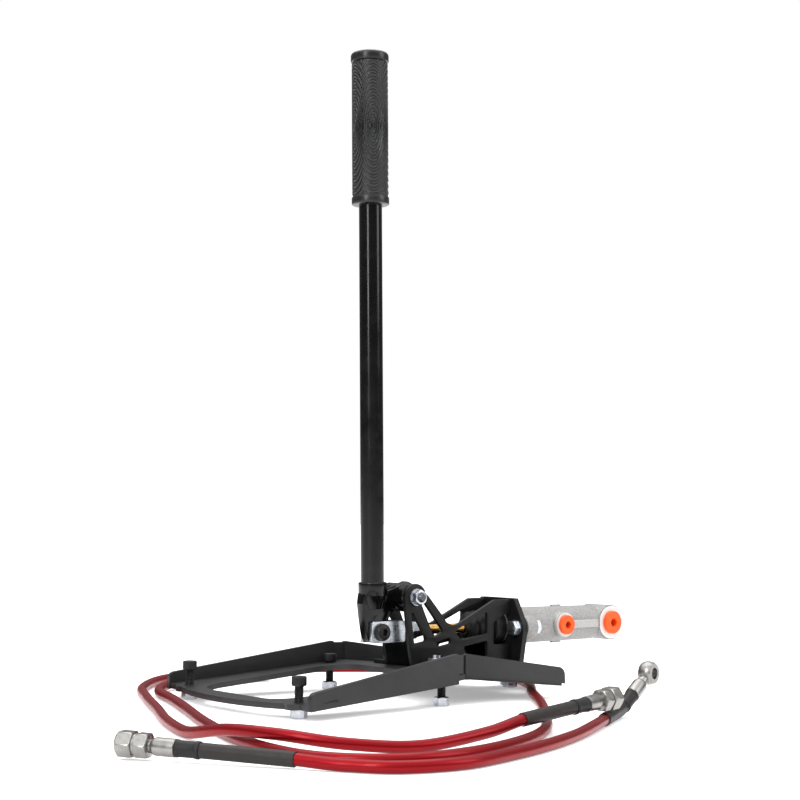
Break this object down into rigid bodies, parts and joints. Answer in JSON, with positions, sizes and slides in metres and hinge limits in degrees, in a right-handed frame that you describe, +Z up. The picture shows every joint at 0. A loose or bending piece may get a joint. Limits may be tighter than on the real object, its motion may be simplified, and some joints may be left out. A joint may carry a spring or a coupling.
{
  "type": "hydraulic parking brake lever",
  "caption": "Upright hydraulic parking brake lever with rubber grip, truss bracket and master cylinder on a folded floor frame, with loose braided hoses.",
  "frame": {"origin": "centre of the box of frame, lever and cylinder on the floor under the frame nuts", "axes": "+X along the master cylinder away from the lever, +Y across to the far side, +Z up"},
  "size_m": [0.7034, 0.6522, 0.6132],
  "materials": {
    "powder_black": "satin black powder coat",
    "plate_grey": "matte dark grey powder coat",
    "black_screw": "black oxide",
    "zinc": "bright zinc plate",
    "steel": "plain steel",
    "bronze": "sintered bronze",
    "lever_black": "semi-gloss black paint",
    "grip_rubber": "matte dark rubber",
    "yellow_zinc": "yellow zinc plate",
    "cast_aluminium": "bead-blasted casting",
    "plug_orange": "orange plastic",
    "seal_rubber": "black rubber",
    "hose_red": "clear red cover over braid",
    "sleeve_black": "bare heat-shrink sleeve",
    "fitting": "plated steel"
  },
  "bodies": {
    "base": {"base_frame": "powder_black", "frame_bolts": "black_screw", "frame_nuts": "zinc", "bracket_near": "plate_grey", "bracket_far": "plate_grey", "end_plate": "plate_grey", "bracket_bolts": "zinc", "bracket_nuts": "zinc", "pivot_bolt": "zinc", "pivot_washers": "zinc", "pivot_nut": "zinc", "pivot_sleeve": "steel", "cylinder_body": "cast_aluminium", "cylinder_bolts": "zinc", "cylinder_washers": "zinc", "cylinder_nuts": "zinc", "inlet_plug": "plug_orange", "outlet_plug": "plug_orange", "stop_washer": "steel", "circlip": "steel", "return_spring": "steel", "boot": "seal_rubber", "hose_short": "hose_red", "hose_long": "hose_red", "hose_sleeves": "sleeve_black", "hose_collars": "sleeve_black", "hose_ferrules": "fitting", "swivel_nuts": "fitting", "banjo": "fitting"},
    "lever": {"lever_arm": "lever_black", "lever_tube": "lever_black", "grip": "grip_rubber", "pivot_bushes": "bronze"},
    "linkage": {"clevis": "zinc", "clevis_screw": "black_screw", "clevis_nut": "black_screw", "jam_nut": "zinc", "pushrod": "yellow_zinc"},
    "piston": {"piston": "cast_aluminium", "primary_cup": "seal_rubber", "secondary_cup": "seal_rubber"}
  },
  "joints": [
    {"name": "lever_pull", "type": "hinge", "parent": "base", "child": "lever", "pos_m": [-0.03825, 0, 0.094], "axis": [0, -1, 0], "range_deg": [0, 20], "stiffness_Nm_per_rad": 3, "springref_deg": -34.38},
    {"name": "clevis_pivot", "type": "hinge", "parent": "lever", "child": "linkage", "pos_m": [-0.06975, 0, 0.0615], "axis": [0, -1, 0], "range_deg": [-16.9, 0.05]},
    {"name": "piston_stroke", "type": "slide", "parent": "base", "child": "piston", "axis": [1, 0, 0], "range_m": [-0.00005, 0.0129], "deforming": ["return_spring", "boot"]}
  ],
  "couplings": [
    {"joint": "clevis_pivot", "follows": "lever_pull", "ratio": -0.84375},
    {"joint": "piston_stroke", "follows": "lever_pull", "m_per_rad": 0.036812}
  ]
}
